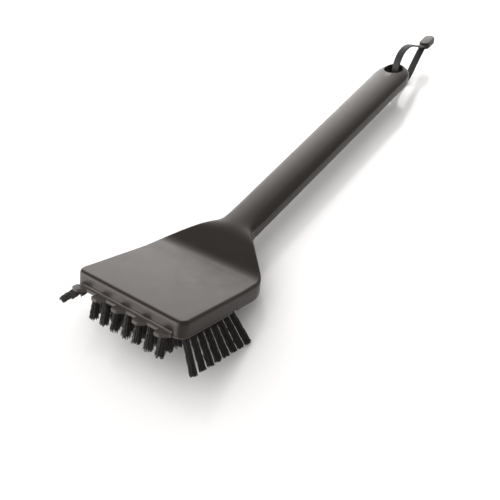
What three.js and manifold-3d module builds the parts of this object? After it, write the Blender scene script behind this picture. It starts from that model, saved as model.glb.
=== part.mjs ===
// Grill cleaning brush: a moulded handle and head in one piece, a brush plate with a
// toothed scraper lip, nylon tufts, and a hanging strap with a two-part tag.
// Millimetres, +Z up. The brush lies as it does on a table: the handle is level and the
// head dips towards it, so the rear tufts and the strap's loop touch the table at z = 0.
// Everything but the strap is drawn in the head's own frame (x across, y from the
// scraper towards the handle, z out of the flat top) and tilted as one group.
import * as THREE from 'three';
import { mergeVertices } from 'three/addons/utils/BufferGeometryUtils.js';
import Module from 'manifold-3d';

const wasm = await Module();
wasm.setup();

// ---------- driving dimensions ----------
const RISE = THREE.MathUtils.degToRad(24);  // angle between the head's top and the handle
const GAP = 0.3;                            // clearance between separate pieces

// housing
const HEAD_HALF = 44.4;          // half width over the side walls
const RIM = 2.5;                 // rounded rim round the flat top
const SIDE_HEIGHT = 11.2;        // flat top to the lower edge
const FRONT_Y = -2.6;            // front face
const CORNER_R = 6.5;            // plan radius of the front corners
const WALL = 2;
const ROOF = 2.3;
const BEND_Y = 72;               // corner of the lower edge, at the rear of the side walls
const BEND_R = 20;
const HANDLE_LINE_Y = 54.43;     // where the handle's underside would meet the lower edge's level
const UNDER_RAMP = THREE.MathUtils.degToRad(38);  // steepest slope of the lower edge
const UNDER_RAMP_R = 60;
const PLATEAU_END = 75;          // corner of the top line, at the rear of the flat top
const PLATEAU_END_R = 18;
const RAMP = THREE.MathUtils.degToRad(46);  // steepest slope behind the flat top
const RAMP_R = 32;

// handle
const NECK_S = 110.4;            // length along the lower edge to the neck
const NECK_HALF = 13.9;
const END_HALF = 16.1;
const SHOULDER_S = 76.2;         // rear corners of the head
const SHOULDER_R = 19;
const NECK_R = 12;
const END_S = 375.6;             // length along the lower edge to the handle's end
const END_TAPER = 22;            // length of the rounded end
const END_POWER = 2.5;           // 2 is an ellipse, more is squarer
const NECK_THICK = 11.6;
const END_THICK = 13;
const CROWN = 1.8;               // fall of the handle's top from its middle to its side
const HOLE_FROM_END = 12.2;
const HOLE_R = 8;
const HOLE_FLARE = 2.2;

// channel under the handle and the strip that closes it
const CHANNEL_START = 126;
const CHANNEL_END = END_S - 37;
const CHANNEL_MARGIN = 5;        // wall left beside the channel
const CHANNEL_DEPTH = 8;
const STRIP_LAP = 1.3;
const STRIP_THICK = 1.8;
const STRIP_INSET = 0.4;

// brush plate
const PLATE_BOTTOM = -SIDE_HEIGHT;
const PLATE_TOP = -4.2;
const PLATE_REAR = 57.6;
const FLANGE = 1;                // thickness of the plate's edge under the walls
const FLANGE_REAR = 49.5;
const GROOVE_Z = -7.2;           // lower edge of the housing's front face
const NOTCH_HALF = 37.5;         // half width of the plate between the front corners
const LIP_THICK = 2.1;
const LIP_Y = -4.2;
const TEETH = 5;
const TOOTH_PITCH = 17.2;
const TOOTH_X = -40.6;           // straight side of the first tooth
const TOOTH_Y = -8.8;
const TOOTH_ROOT = 8;            // width at the lip
const TOOTH_TIP = 4.9;           // width at the tooth's end

// tufts
const COLUMNS = 7;
const ROWS = 8;
const COLUMN_PITCH = 9.4;
const ROW_PITCH = 7.2;
const FIELD_Y = -0.4;            // rows are counted from here
const FRONT_ROOT_Y = 0.9;        // the front row leans forward
const FRONT_TIP_Y = -1.2;
const TIP_Z = -30;
const TIP_RISE = 0.038;          // the tips are trimmed to a slightly sloping plane
const SIDE_BASE_X = 41;
const SIDE_BASE_Y = 3.8;
const SIDE_BASE_PITCH = 6.06;
const SIDE_TIP_X = 56.3;
const SIDE_TIP_Y = -3.4;
const SIDE_TIP_PITCH = 7.54;
const SIDE_TIP_Z = -27.7;
const SIDE_TIP_FALL = -0.038;    // side tips reach lower towards the rear
const TUFT_R = 1.7;
const TUFT_TIP_R = 2.1;
const SOCKET_R = 2.25;
const SOCKET_DEPTH = 4.4;
const WIRE = 1;                  // square section of the drawing wire along a row

// screws that hold the plate
const SCREW_X = 2.5 * COLUMN_PITCH;
const SCREW_ROWS = [1.5, 5.5];
const SCREW_R = 1.2;
const SCREW_HEAD_R = 2.6;
const SCREW_HEAD = 1.7;
const SCREW_TOP = -1.7;
const BOSS_R = 2.7;

// hanging strap and tag, measured from the lower edge of the handle's end
const TABLE_GAP = 16.3;          // handle's underside to the table
const STRAP_W = 6.6;
const STRAP_T = 1.5;
const TAG_Y = 65.6;
const TAG_Z = 5.4;
const TAG_LONG = 20.5;
const TAG_WIDE = 11;
const TAG_SHELL = 1.2;           // thickness over the strap's pocket
const TAG_YAW = THREE.MathUtils.degToRad(-6);
const RIVET_R = 1.3;
const RIVET_HEAD_R = 2.2;
const RIVET_HEAD = 0.8;

// ---------- materials ----------
function finish(colour, roughness, metalness = 0) {
  return new THREE.MeshStandardMaterial({ color: colour, roughness, metalness });
}
const bodyPlastic = () => finish(0x554f4b, 0.38);
const plateBody = () => finish(0x5b5551, 0.42);
const nylon = () => finish(0x1c1b1a, 0.75);
const steel = () => finish(0x9a9c9e, 0.35, 1);
const strapRubber = () => finish(0x3c3c3e, 0.6);

// ---------- helpers ----------
const group = new THREE.Group();
const head = new THREE.Group();
const hanger = new THREE.Group();
group.add(head, hanger);

function add(parent, name, geometry, material) {
  const mesh = new THREE.Mesh(geometry, material);
  mesh.name = name;
  parent.add(mesh);
  return mesh;
}

function toSolid(geometry) {
  const bare = geometry.index ? geometry.toNonIndexed() : geometry.clone();
  for (const key of Object.keys(bare.attributes)) {
    if (key !== 'position') bare.deleteAttribute(key);
  }
  const merged = mergeVertices(bare, 1e-4);
  const mesh = new wasm.Mesh({
    numProp: 3,
    vertProperties: new Float32Array(merged.attributes.position.array),
    triVerts: new Uint32Array(merged.index.array),
  });
  return new wasm.Manifold(mesh);
}

function toGeometry(solid) {
  const mesh = solid.getMesh();
  const geometry = new THREE.BufferGeometry();
  geometry.setAttribute('position', new THREE.BufferAttribute(mesh.vertProperties, 3));
  geometry.setIndex(new THREE.BufferAttribute(mesh.triVerts, 1));
  geometry.computeVertexNormals();
  return geometry;
}

function smooth(from, to, value) {
  return THREE.MathUtils.smoothstep(value, from, to);
}

// A line through corners [x, y, radius], with an arc at each corner that has a radius.
function roundedLine(corners, arcSteps = 7) {
  const points = [];
  corners.forEach(([x, y, radius], i) => {
    const corner = new THREE.Vector2(x, y);
    if (!radius) {
      points.push(corner);
      return;
    }
    const before = new THREE.Vector2(corners[i - 1][0], corners[i - 1][1]).sub(corner).normalize();
    const after = new THREE.Vector2(corners[i + 1][0], corners[i + 1][1]).sub(corner).normalize();
    const half = before.angleTo(after) / 2;
    const centre = before.clone().add(after).normalize().multiplyScalar(radius / Math.sin(half));
    centre.add(corner);
    const start = corner.clone().addScaledVector(before, radius / Math.tan(half)).sub(centre);
    const end = corner.clone().addScaledVector(after, radius / Math.tan(half)).sub(centre);
    const turn = Math.atan2(start.cross(end), start.dot(end));
    for (let k = 0; k <= arcSteps; k += 1) {
      points.push(start.clone().rotateAround(new THREE.Vector2(), (turn * k) / arcSteps).add(centre));
    }
  });
  return points;
}

function valueAt(line, x) {
  const i = Math.max(1, line.findIndex((p) => p.x >= x));
  const a = line[i - 1];
  const b = line[i];
  return THREE.MathUtils.mapLinear(x, a.x, b.x, a.y, b.y);
}

// Closed surface through rings of equally many points, capped at both ends.
function loft(rings) {
  const count = rings[0].length;
  const vertices = rings.flat();
  const faces = [];
  for (let i = 0; i < rings.length - 1; i += 1) {
    for (let j = 0; j < count; j += 1) {
      const a = i * count + j;
      const b = i * count + ((j + 1) % count);
      faces.push(a, b + count, b, a, a + count, b + count);
    }
  }
  [[0, -1], [rings.length - 1, 1]].forEach(([ring, side]) => {
    const centre = new THREE.Vector3();
    rings[ring].forEach((p) => centre.addScaledVector(p, 1 / count));
    const middle = vertices.push(centre) - 1;
    for (let j = 0; j < count; j += 1) {
      const a = ring * count + j;
      const b = ring * count + ((j + 1) % count);
      if (side < 0) faces.push(a, b, middle);
      else faces.push(b, a, middle);
    }
  });
  const geometry = new THREE.BufferGeometry();
  const flat = vertices.flatMap((p) => [p.x, p.y, p.z]);
  geometry.setAttribute('position', new THREE.Float32BufferAttribute(flat, 3));
  geometry.setIndex(faces);
  geometry.computeVertexNormals();
  return geometry;
}

function box(x, y0, y1, z0, z1) {
  const geometry = new THREE.BoxGeometry(2 * x, y1 - y0, z1 - z0);
  return geometry.translate(0, (y0 + y1) / 2, (z0 + z1) / 2);
}

// Cylinder along z between two heights.
function drum(x, y, z0, z1, radius, sides = 16, topRadius = radius) {
  const geometry = new THREE.CylinderGeometry(topRadius, radius, z1 - z0, sides);
  return geometry.rotateX(Math.PI / 2).translate(x, y, (z0 + z1) / 2);
}

function roundedRect(halfX, y0, y1, radius) {
  const shape = new THREE.Shape();
  shape.moveTo(-halfX + radius, y0);
  shape.lineTo(halfX - radius, y0);
  shape.absarc(halfX - radius, y0 + radius, radius, -Math.PI / 2, 0);
  shape.lineTo(halfX, y1 - radius);
  shape.absarc(halfX - radius, y1 - radius, radius, 0, Math.PI / 2);
  shape.lineTo(-halfX + radius, y1);
  shape.absarc(-halfX + radius, y1 - radius, radius, Math.PI / 2, Math.PI);
  shape.lineTo(-halfX, y0 + radius);
  shape.absarc(-halfX + radius, y0 + radius, radius, Math.PI, 1.5 * Math.PI);
  return shape;
}

function extrude(shape, z0, z1, curveSegments = 5) {
  const geometry = new THREE.ExtrudeGeometry(shape, { depth: z1 - z0, bevelEnabled: false, curveSegments });
  return geometry.translate(0, 0, z0);
}

// ---------- housing and handle: one moulding ----------
// The lower edge, seen from the side: level under the head, steep behind it, then the
// handle. Lengths s along it are counted from y = 0.
const steepTopY = (BEND_Y * Math.tan(UNDER_RAMP) - HANDLE_LINE_Y * Math.tan(RISE))
  / (Math.tan(UNDER_RAMP) - Math.tan(RISE));
const lowerLine = roundedLine([
  [FRONT_Y - 10, -SIDE_HEIGHT],
  [BEND_Y, -SIDE_HEIGHT, BEND_R],
  [steepTopY, (steepTopY - BEND_Y) * Math.tan(UNDER_RAMP) - SIDE_HEIGHT, UNDER_RAMP_R],
  [400, (400 - HANDLE_LINE_Y) * Math.tan(RISE) - SIDE_HEIGHT],
], 12);
const lowerLengths = lowerLine.map(() => FRONT_Y - 10);
for (let i = 1; i < lowerLine.length; i += 1) {
  lowerLengths[i] = lowerLengths[i - 1] + lowerLine[i].distanceTo(lowerLine[i - 1]);
}

// Point at a length along the lower edge, and the lean there of the section across it.
function spine(s) {
  const i = Math.max(1, lowerLengths.findIndex((length) => length >= s));
  const share = (s - lowerLengths[i - 1]) / (lowerLengths[i] - lowerLengths[i - 1]);
  const point = lowerLine[i - 1].clone().lerp(lowerLine[i], share);
  return { y: point.x, z: point.y, turn: RISE * smooth(60, 125, s) };
}

function onSpine(s, x, height) {
  const { y, z, turn } = spine(s);
  return new THREE.Vector3(x, y - height * Math.sin(turn), z + height * Math.cos(turn));
}

const halfWidthLine = roundedLine([
  [FRONT_Y, HEAD_HALF],
  [SHOULDER_S, HEAD_HALF, SHOULDER_R],
  [NECK_S, NECK_HALF, NECK_R],
  [END_S, END_HALF],
]);

// The top, seen from the side: flat, ramp, handle.
const neckTop = onSpine(NECK_S, 0, NECK_THICK);
const endTop = onSpine(END_S, 0, END_THICK);
const handleSlope = (endTop.z - neckTop.z) / (endTop.y - neckTop.y);
const rampTopY = (neckTop.z - neckTop.y * handleSlope + PLATEAU_END * Math.tan(RAMP))
  / (Math.tan(RAMP) - handleSlope);
const topLine = roundedLine([
  [FRONT_Y - 10, 0],
  [PLATEAU_END, 0, PLATEAU_END_R],
  [rampTopY, (rampTopY - PLATEAU_END) * Math.tan(RAMP), RAMP_R],
  [endTop.y + 20, endTop.z + 20 * handleSlope],
], 9);

function thickness(s) {
  let low = 0;
  let high = 30;
  for (let i = 0; i < 40; i += 1) {
    const middle = (low + high) / 2;
    const point = onSpine(s, 0, middle);
    if (point.z < valueAt(topLine, point.y)) low = middle;
    else high = middle;
  }
  return low;
}

// How far a rounding of this radius has fallen at a distance from the face it ends on.
function rounding(radius, drop, distance) {
  const t = THREE.MathUtils.clamp(1 - distance / radius, 0, 1);
  return drop * (1 - Math.sqrt(1 - t * t));
}

function halfWidth(s) {
  const fromFront = s - FRONT_Y;
  const endPart = THREE.MathUtils.clamp((s - (END_S - END_TAPER)) / END_TAPER, 0, 1);
  const plain = valueAt(halfWidthLine, s) - rounding(CORNER_R, CORNER_R, fromFront);
  return plain * (1 - endPart ** END_POWER) ** (1 / END_POWER);
}

const RING_ROUND_STEPS = 5;
const RING_CROWN_STEPS = 4;
const EDGE = 0.7;                // small chamfer along the lower edge

function housingRing(s) {
  const half = halfWidth(s);
  const full = thickness(s);
  const roundWide = Math.min(THREE.MathUtils.lerp(RIM, 0.55 * half, smooth(102, 137, s)), 0.6 * half);
  const roundHigh = Math.min(THREE.MathUtils.lerp(RIM, 2.8, smooth(87, 127, s)), 0.55 * full);
  const crown = CROWN * smooth(87, 127, s);
  const top = full - rounding(RIM, RIM, s - FRONT_Y) - rounding(5, 4.2, END_S - s);
  const flat = half - roundWide;
  const heightAt = (x) => {
    const t = Math.max(0, (Math.abs(x) - flat) / roundWide);
    const fall = crown * (x / half) ** 2 + roundHigh * (1 - Math.sqrt(Math.max(0, 1 - t * t)));
    return Math.max(top - fall, EDGE + 0.3);
  };
  const right = [new THREE.Vector2(half - EDGE, 0), new THREE.Vector2(half, EDGE)];
  for (let k = 0; k <= RING_ROUND_STEPS; k += 1) {
    const angle = (k / RING_ROUND_STEPS) * (Math.PI / 2);
    const x = flat + roundWide * Math.cos(angle);
    right.push(new THREE.Vector2(x, heightAt(x)));
  }
  for (let k = 1; k < RING_CROWN_STEPS; k += 1) {
    const x = flat * (1 - k / RING_CROWN_STEPS);
    right.push(new THREE.Vector2(x, heightAt(x)));
  }
  const middle = [new THREE.Vector2(0, heightAt(0))];
  const left = right.map((p) => new THREE.Vector2(-p.x, p.y)).reverse();
  return [...right, ...middle, ...left].map((p) => onSpine(s, p.x, p.y));
}

function stations() {
  const list = [];
  for (let k = 0; k <= 6; k += 1) list.push(FRONT_Y + CORNER_R * (1 - Math.cos((k / 6) * (Math.PI / 2))));
  list.push(22, 42, 56, 61);
  for (let s = 64.5; s <= 122; s += 3.5) list.push(s);
  list.push(127);
  for (let s = 137; s < END_S - END_TAPER - 8; s += 21) list.push(s);
  for (let k = 0; k <= 9; k += 1) {
    list.push(END_S - END_TAPER * (1 - Math.sin((k / 9) * THREE.MathUtils.degToRad(85))));
  }
  return list;
}

// Tapered slot in plan, in handle length s and half width, with round ends.
function channelShape(extra) {
  const wideStart = valueAt(halfWidthLine, CHANNEL_START) - CHANNEL_MARGIN + extra;
  const wideEnd = valueAt(halfWidthLine, CHANNEL_END) - CHANNEL_MARGIN + extra;
  const y0 = CHANNEL_START + wideStart - extra;
  const y1 = CHANNEL_END - wideEnd + extra;
  const shape = new THREE.Shape();
  shape.absarc(0, y0, wideStart, Math.PI, 2 * Math.PI);
  shape.absarc(0, y1, wideEnd, 0, Math.PI);
  return shape;
}

// From plan position s and height above the handle's underside into the head's frame.
function layOnHandle(geometry) {
  const origin = onSpine(CHANNEL_START, 0, 0);
  return geometry.translate(0, -CHANNEL_START, 0).rotateX(RISE).translate(0, origin.y, origin.z);
}

function holeTool() {
  const profile = [new THREE.Vector2(0, -3), new THREE.Vector2(HOLE_R + HOLE_FLARE, -3)];
  for (let k = 0; k <= 4; k += 1) {
    const angle = (k / 4) * (Math.PI / 2);
    profile.push(new THREE.Vector2(
      HOLE_R + HOLE_FLARE * (1 - Math.sin(angle)),
      HOLE_FLARE * (1 - Math.cos(angle)),
    ));
  }
  for (let k = 0; k <= 4; k += 1) {
    const angle = (k / 4) * (Math.PI / 2);
    profile.push(new THREE.Vector2(
      HOLE_R + HOLE_FLARE * (1 - Math.cos(angle)),
      END_THICK - HOLE_FLARE * (1 - Math.sin(angle)),
    ));
  }
  profile.push(new THREE.Vector2(HOLE_R + HOLE_FLARE, END_THICK + 3), new THREE.Vector2(0, END_THICK + 3));
  const tool = new THREE.LatheGeometry(profile, 28).rotateX(Math.PI / 2);
  return layOnHandle(tool.translate(0, END_S - HOLE_FROM_END, 0));
}

function screwPlaces() {
  const places = [];
  for (const row of SCREW_ROWS) {
    for (const side of [-1, 1]) places.push([side * SCREW_X, FIELD_Y + row * ROW_PITCH]);
  }
  return places;
}

function handleShell() {
  let solid = toSolid(loft(stations().map(housingRing)));
  const below = -SIDE_HEIGHT - 5;
  const inside = roundedRect(HEAD_HALF - WALL, FRONT_Y + WALL, PLATE_REAR + GAP, CORNER_R - WALL);
  solid = solid.subtract(toSolid(extrude(inside, below, -ROOF, 4)));
  const flangeTop = PLATE_BOTTOM + FLANGE + GAP;
  solid = solid.subtract(toSolid(box(HEAD_HALF + 3, FRONT_Y - 3, FLANGE_REAR + GAP, below, flangeTop)));
  solid = solid.subtract(toSolid(box(NOTCH_HALF, FRONT_Y - 3, FRONT_Y + WALL + 1, below, GROOVE_Z)));
  for (const [x, y] of screwPlaces()) {
    solid = solid.add(toSolid(drum(x, y, PLATE_TOP + GAP, -ROOF + 0.5, BOSS_R, 14)));
    solid = solid.subtract(toSolid(drum(x, y, PLATE_TOP - 3, SCREW_TOP + GAP, SCREW_R + GAP, 12)));
  }
  const recess = extrude(channelShape(STRIP_LAP + GAP), -3, STRIP_INSET + STRIP_THICK + GAP, 8);
  solid = solid.subtract(toSolid(layOnHandle(recess)));
  solid = solid.subtract(toSolid(layOnHandle(extrude(channelShape(0), -3, CHANNEL_DEPTH, 8))));
  solid = solid.subtract(toSolid(holeTool()));
  return toGeometry(solid);
}

add(head, 'handle_shell', handleShell(), bodyPlastic());

const strip = extrude(channelShape(STRIP_LAP), STRIP_INSET, STRIP_INSET + STRIP_THICK, 8);
add(head, 'handle_underside_strip', layOnHandle(strip), plateBody());

// ---------- brush plate with the scraper lip ----------
function lipSection() {
  const lipTop = PLATE_BOTTOM + LIP_THICK;
  const shape = new THREE.Shape();
  shape.moveTo(FRONT_Y + WALL + 2, PLATE_BOTTOM);
  shape.lineTo(FRONT_Y + WALL + 2, GROOVE_Z - GAP);
  shape.lineTo(FRONT_Y, GROOVE_Z - GAP);
  shape.lineTo(FRONT_Y, GROOVE_Z - GAP - 0.3);
  shape.quadraticCurveTo(FRONT_Y, lipTop, LIP_Y - 1, lipTop);
  shape.lineTo(LIP_Y - 1, PLATE_BOTTOM);
  return shape;
}

// A tooth has one straight side and one slanted side, with its corners rounded.
function toothShape(x) {
  const back = LIP_Y + 0.2;
  const shape = new THREE.Shape();
  shape.moveTo(x + TOOTH_ROOT + 0.5, back);
  shape.lineTo(x, back);
  shape.lineTo(x, TOOTH_Y + 1.5);
  shape.quadraticCurveTo(x, TOOTH_Y, x + 1.5, TOOTH_Y);
  shape.lineTo(x + TOOTH_TIP - 1, TOOTH_Y);
  shape.quadraticCurveTo(x + TOOTH_TIP, TOOTH_Y, x + TOOTH_TIP + 0.8, TOOTH_Y + 1.2);
  shape.lineTo(x + TOOTH_ROOT, LIP_Y - 0.6);
  return shape;
}

// Every tuft has a root at the plate's underside and a tip.
function fieldTuft(row, column) {
  const x = (column - (COLUMNS - 1) / 2) * COLUMN_PITCH;
  const y = FIELD_Y + row * ROW_PITCH;
  const rootY = row === 0 ? FRONT_ROOT_Y : y;
  const tipY = row === 0 ? FRONT_TIP_Y : y;
  const tipZ = TIP_Z + TIP_RISE * (tipY - FRONT_TIP_Y);
  return { root: new THREE.Vector3(x, rootY, PLATE_BOTTOM), tip: new THREE.Vector3(x, tipY, tipZ) };
}

function sideTuft(side, i) {
  const tipY = SIDE_TIP_Y + i * SIDE_TIP_PITCH;
  const root = new THREE.Vector3(side * SIDE_BASE_X, SIDE_BASE_Y + i * SIDE_BASE_PITCH, PLATE_BOTTOM);
  const tip = new THREE.Vector3(side * SIDE_TIP_X, tipY, SIDE_TIP_Z + SIDE_TIP_FALL * (tipY - SIDE_TIP_Y));
  return { root, tip };
}

// Cone frustum between two points.
function taper(from, to, radiusFrom, radiusTo, sides) {
  const along = to.clone().sub(from);
  const geometry = new THREE.CylinderGeometry(radiusTo, radiusFrom, along.length(), sides);
  const up = new THREE.Vector3(0, 1, 0);
  geometry.applyQuaternion(new THREE.Quaternion().setFromUnitVectors(up, along.clone().normalize()));
  const middle = from.clone().lerp(to, 0.5);
  return geometry.translate(middle.x, middle.y, middle.z);
}

function blindSocket({ root, tip }, depth) {
  const inward = root.clone().sub(tip).normalize();
  const mouth = root.clone().addScaledVector(inward, -4);
  return taper(mouth, root.clone().addScaledVector(inward, depth), SOCKET_R, SOCKET_R, 8);
}

function brushPlate() {
  const coreHalf = HEAD_HALF - WALL - GAP;
  const core = roundedRect(coreHalf, FRONT_Y + WALL + GAP, PLATE_REAR, CORNER_R - WALL - GAP);
  let solid = toSolid(extrude(core, PLATE_BOTTOM, PLATE_TOP, 4));
  const flange = roundedRect(HEAD_HALF, FRONT_Y, FLANGE_REAR, CORNER_R);
  solid = solid.add(toSolid(extrude(flange, PLATE_BOTTOM, PLATE_BOTTOM + FLANGE, 6)));
  const depth = 2 * (NOTCH_HALF - GAP);
  const lip = new THREE.ExtrudeGeometry(lipSection(), { depth, bevelEnabled: false, curveSegments: 5 });
  lip.applyMatrix4(new THREE.Matrix4().makeBasis(
    new THREE.Vector3(0, 1, 0),
    new THREE.Vector3(0, 0, 1),
    new THREE.Vector3(1, 0, 0),
  ));
  solid = solid.add(toSolid(lip.translate(-depth / 2, 0, 0)));
  solid = solid.subtract(toSolid(box(NOTCH_HALF, LIP_Y - 3, LIP_Y, PLATE_BOTTOM - 1, PLATE_TOP)));
  for (let i = 0; i < TEETH; i += 1) {
    const tooth = toothShape(TOOTH_X + i * TOOTH_PITCH);
    solid = solid.add(toSolid(extrude(tooth, PLATE_BOTTOM, PLATE_BOTTOM + LIP_THICK, 4)));
  }
  for (let column = 0; column < COLUMNS; column += 1) {
    const front = fieldTuft(0, column);
    solid = solid.subtract(toSolid(blindSocket(front, SOCKET_DEPTH - 1.8)));
    for (let row = 1; row < ROWS; row += 1) {
      const { root } = fieldTuft(row, column);
      solid = solid.subtract(toSolid(drum(root.x, root.y, PLATE_BOTTOM - 1, PLATE_TOP + 1, SOCKET_R, 8)));
    }
  }
  for (let i = 0; i < ROWS; i += 1) {
    solid = solid.subtract(toSolid(blindSocket(sideTuft(-1, i), SOCKET_DEPTH)));
    solid = solid.subtract(toSolid(blindSocket(sideTuft(1, i), SOCKET_DEPTH)));
  }
  for (const [x, y] of screwPlaces()) {
    solid = solid.subtract(toSolid(drum(x, y, PLATE_BOTTOM - 1, PLATE_TOP + 1, SCREW_R + GAP, 12)));
    const seat = drum(x, y, PLATE_BOTTOM - 1, PLATE_BOTTOM + SCREW_HEAD + 2 * GAP, SCREW_HEAD_R + GAP, 14);
    solid = solid.subtract(toSolid(seat));
  }
  return toGeometry(solid);
}

add(head, 'brush_plate', brushPlate(), plateBody());

// ---------- tufts ----------
// A tuft widens towards its tip and is trimmed square to its own direction.
function tuftGeometry({ root, tip }, depth) {
  const along = tip.clone().sub(root).normalize();
  const start = root.clone().addScaledVector(along, GAP - depth);
  return taper(start, tip, TUFT_R, TUFT_TIP_R, 8);
}

for (let column = 0; column < COLUMNS; column += 1) {
  const geometry = tuftGeometry(fieldTuft(0, column), SOCKET_DEPTH - 1.8);
  add(head, `front_tuft_${column + 1}`, geometry, nylon());
}
for (let i = 0; i < ROWS; i += 1) {
  add(head, `left_tuft_${i + 1}`, tuftGeometry(sideTuft(-1, i), SOCKET_DEPTH), nylon());
  add(head, `right_tuft_${i + 1}`, tuftGeometry(sideTuft(1, i), SOCKET_DEPTH), nylon());
}

// An inner row: tufts drawn through the plate on one wire that lies along its upper side.
function tuftRow(row) {
  const first = fieldTuft(row, 0).root;
  const wireLow = PLATE_TOP + GAP;
  const wire = new THREE.BoxGeometry((COLUMNS - 1) * COLUMN_PITCH + 2 * TUFT_R, WIRE, WIRE);
  let solid = toSolid(wire.translate(0, first.y, wireLow + WIRE / 2));
  for (let column = 0; column < COLUMNS; column += 1) {
    const { root, tip } = fieldTuft(row, column);
    const start = new THREE.Vector3(root.x, root.y, wireLow + WIRE);
    solid = solid.add(toSolid(taper(start, tip, TUFT_R, TUFT_TIP_R, 6)));
  }
  return toGeometry(solid);
}

for (let row = 1; row < ROWS; row += 1) {
  add(head, `inner_tuft_row_${row}`, tuftRow(row), nylon());
}

// ---------- plate screws ----------
function plateScrew(x, y) {
  const headLow = PLATE_BOTTOM + GAP;
  const profile = [
    new THREE.Vector2(0, headLow),
    new THREE.Vector2(SCREW_HEAD_R, headLow),
    new THREE.Vector2(SCREW_HEAD_R, headLow + SCREW_HEAD * 0.5),
    new THREE.Vector2(SCREW_R, headLow + SCREW_HEAD),
    new THREE.Vector2(SCREW_R, SCREW_TOP - 1),
    new THREE.Vector2(0, SCREW_TOP),
  ];
  const slot = new THREE.BoxGeometry(0.8, 2 * SCREW_HEAD_R + 1, 0.7).translate(0, 0, headLow + 0.2);
  const body = new THREE.LatheGeometry(profile, 14).rotateX(Math.PI / 2);
  return toGeometry(toSolid(body).subtract(toSolid(slot))).translate(x, y, 0);
}

screwPlaces().forEach(([x, y], i) => {
  add(head, `plate_screw_${i + 1}`, plateScrew(x, y), steel());
});

// ---------- hanging strap ----------
// Centre line of the strap in the handle's middle plane: y past the handle's end, z above
// its underside. It leaves the tag, arches over the end, passes down through the hole,
// sags to the table and comes back to the tag.
const STRAP_BOTTOM = -TABLE_GAP + STRAP_T / 2;
const STRAP_STACK = (STRAP_T + GAP) / 2;
const STRAP_PAST_PIN = 4;
const strapLine = new THREE.CatmullRomCurve3([
  [TAG_Y + STRAP_PAST_PIN, TAG_Z + STRAP_STACK],
  [TAG_Y - 9.5, TAG_Z + STRAP_STACK],
  [TAG_Y - 11, TAG_Z + STRAP_STACK],
  [47.8, 8.4],
  [41.5, 11.2],
  [31.5, 16.3],
  [21.2, 20.6],
  [12.2, 22.3],
  [4.8, 21.6],
  [-1.3, 18.9],
  [-5.6, 14.4],
  [-8.7, 7.6],
  [-8.4, 1.2],
  [-6.4, -5],
  [-1.9, -10.6],
  [4.6, -14],
  [12, STRAP_BOTTOM],
  [19.5, -13.6],
  [27, -10.6],
  [36, -5.2],
  [46, 0.6],
  [TAG_Y - 11, TAG_Z - STRAP_STACK],
  [TAG_Y - 9.5, TAG_Z - STRAP_STACK],
  [TAG_Y + STRAP_PAST_PIN, TAG_Z - STRAP_STACK],
].map(([y, z]) => new THREE.Vector3(0, y, z)), false, 'centripetal');
const STRAP_STEPS = 72;

function strapShape() {
  const outer = [];
  const inner = [];
  for (let i = 0; i <= STRAP_STEPS; i += 1) {
    const point = strapLine.getPointAt(i / STRAP_STEPS);
    const along = strapLine.getTangentAt(i / STRAP_STEPS);
    outer.push(new THREE.Vector2(point.y - (along.z * STRAP_T) / 2, point.z + (along.y * STRAP_T) / 2));
    inner.push(new THREE.Vector2(point.y + (along.z * STRAP_T) / 2, point.z - (along.y * STRAP_T) / 2));
  }
  return new THREE.Shape([...outer, ...inner.reverse()]);
}

function strap() {
  const geometry = new THREE.ExtrudeGeometry(strapShape(), { depth: STRAP_W, bevelEnabled: false });
  geometry.translate(0, 0, -STRAP_W / 2);
  geometry.applyMatrix4(new THREE.Matrix4().makeBasis(
    new THREE.Vector3(0, 1, 0),
    new THREE.Vector3(0, 0, 1),
    new THREE.Vector3(1, 0, 0),
  ));
  const pinHole = drum(0, TAG_Y, TAG_Z - 8, TAG_Z + 8, RIVET_R + GAP, 12);
  return toGeometry(toSolid(geometry).subtract(toSolid(pinHole)));
}

add(hanger, 'hanging_strap', strap(), strapRubber());

// ---------- tag: two shells riveted together over the strap's ends ----------
const TAG_INNER = STRAP_STACK + STRAP_T / 2 + GAP;

function tagShape() {
  const half = TAG_LONG / 2 - TAG_WIDE / 2;
  const shape = new THREE.Shape();
  shape.absarc(0, half, TAG_WIDE / 2, 0, Math.PI);
  shape.absarc(0, -half, TAG_WIDE / 2, Math.PI, 2 * Math.PI);
  return shape;
}

// Each shell is a cap with a pocket for the strap, open towards the handle.
function tagShell(side) {
  const bevel = 0.5;
  const height = TAG_INNER + TAG_SHELL;
  const geometry = new THREE.ExtrudeGeometry(tagShape(), {
    depth: height - bevel,
    bevelThickness: bevel,
    bevelSize: bevel,
    bevelOffset: -bevel,
    bevelSegments: 2,
    curveSegments: 8,
  });
  let solid = toSolid(geometry.rotateZ(side * TAG_YAW));
  solid = solid.subtract(toSolid(box(TAG_WIDE, -TAG_LONG, TAG_LONG, -2 * bevel, GAP / 2)));
  const pocket = box(STRAP_W / 2 + GAP, -TAG_LONG, STRAP_PAST_PIN + GAP, -1, TAG_INNER);
  solid = solid.subtract(toSolid(pocket));
  const hole = drum(0, 0, -1, side > 0 ? height - 0.6 : height + 1, RIVET_R + GAP, 12);
  solid = solid.subtract(toSolid(hole));
  if (side < 0) {
    const seat = drum(0, 0, height - RIVET_HEAD - GAP, height + 1, RIVET_HEAD_R + GAP, 16);
    solid = solid.subtract(toSolid(seat));
  }
  const shell = toGeometry(solid);
  if (side < 0) shell.rotateY(Math.PI);
  return shell.translate(0, TAG_Y, TAG_Z);
}

add(hanger, 'tag_upper_shell', tagShell(1), bodyPlastic());
add(hanger, 'tag_lower_shell', tagShell(-1), bodyPlastic());

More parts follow.
